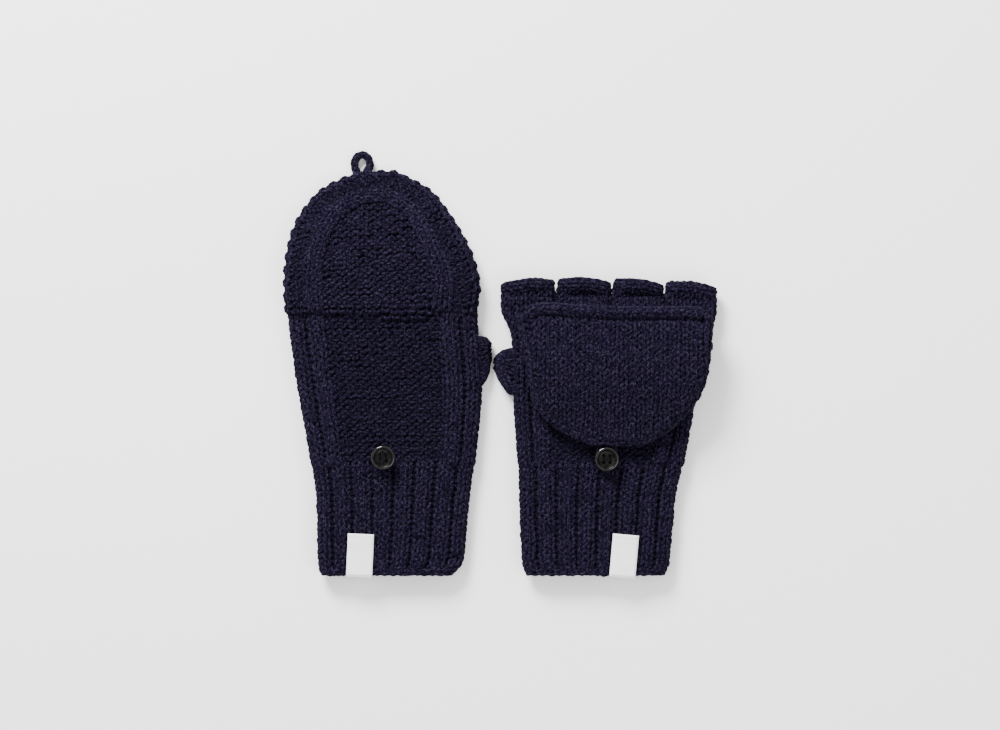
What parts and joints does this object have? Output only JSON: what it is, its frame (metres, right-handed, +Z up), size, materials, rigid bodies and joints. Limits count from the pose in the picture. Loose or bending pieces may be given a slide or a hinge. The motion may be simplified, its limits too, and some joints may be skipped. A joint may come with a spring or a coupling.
{
  "type": "convertible flip-top mittens",
  "caption": "Pair of knitted fingerless gloves with flip-over mitten caps, one cap closed over the fingers and one folded back and held by its loop on a button.",
  "frame": {"origin": "centre of the pair's overall box, on the surface it lies on", "axes": "+X from the left mitten to the right one, +Y along the hands towards the fingertips, +Z up from the surface through the backs of the hands"},
  "size_m": [0.2601, 0.2573, 0.0311],
  "materials": {
    "knit": "matte wool knit, dark navy",
    "button": "glossy black",
    "thread": "black sewing thread",
    "label": "white woven tape",
    "label_thread": "grey sewing thread"
  },
  "bodies": {
    "left_hand": {"left_cuff": "knit", "left_hand_back": "knit", "left_hand_palm": "knit", "left_finger_index": "knit", "left_finger_middle": "knit", "left_finger_ring": "knit", "left_finger_little": "knit", "left_cap_seam": "knit", "left_label": "label", "left_label_stitches": "label_thread"},
    "left_thumb": {"left_thumb": "knit"},
    "left_cap": {"left_cap_back": "knit", "left_cap_palm": "knit", "left_cap_lip": "knit", "left_cap_roll": "knit"},
    "left_loop": {"left_button_loop": "knit"},
    "left_button": {"left_button": "button", "left_button_thread": "thread"},
    "right_hand": {"right_cuff": "knit", "right_hand_back": "knit", "right_hand_palm": "knit", "right_finger_index": "knit", "right_finger_middle": "knit", "right_finger_ring": "knit", "right_finger_little": "knit", "right_cap_seam": "knit", "right_label": "label", "right_label_stitches": "label_thread"},
    "right_thumb": {"right_thumb": "knit"},
    "right_cap": {"right_cap_back": "knit", "right_cap_palm": "knit", "right_cap_lip": "knit", "right_cap_roll": "knit", "right_button_loop": "knit"},
    "right_button": {"right_button": "button", "right_button_thread": "thread"}
  },
  "joints": [
    {"name": "left_cap_flip", "type": "hinge", "parent": "left_hand", "child": "left_cap", "pos_m": [-0.0707, 0.03, 0.01555], "axis": [1, 0, 0], "range_deg": [0, 180], "deforming": ["left_cap_lip", "left_cap_roll"]},
    {"name": "left_loop_swing", "type": "hinge", "parent": "left_cap", "child": "left_loop", "pos_m": [-0.0833, 0.1191, 0.0022], "axis": [1, 0, 0], "range_deg": [-90, 20]},
    {"name": "left_thumb_unfold", "type": "hinge", "parent": "left_hand", "child": "left_thumb", "pos_m": [-0.0086, 0.0025, 0.0029], "axis": [0, -1, 0], "range_deg": [0, 90]},
    {"name": "left_button_turn", "type": "hinge", "parent": "left_hand", "child": "left_button", "pos_m": [-0.0699, -0.0559, 0.019], "axis": [0, 0, 1], "range_deg": [-30, 30]},
    {"name": "pair_apart", "type": "slide", "parent": "left_hand", "child": "right_hand", "axis": [1, 0, 0], "range_m": [0, 0.15]},
    {"name": "right_cap_flip", "type": "hinge", "parent": "right_hand", "child": "right_cap", "pos_m": [0.0665, 0.03, 0.01555], "axis": [1, 0, 0], "range_deg": [-180, 0], "deforming": ["right_cap_lip", "right_cap_roll", "right_button_loop", "right_finger_index", "right_finger_little"]},
    {"name": "right_thumb_unfold", "type": "hinge", "parent": "right_hand", "child": "right_thumb", "pos_m": [-0.0005, -0.0045, 0.0029], "axis": [0, 1, 0], "range_deg": [0, 90]},
    {"name": "right_button_turn", "type": "hinge", "parent": "right_hand", "child": "right_button", "pos_m": [0.0638, -0.0568, 0.019], "axis": [0, 0, 1], "range_deg": [-30, 30]}
  ]
}
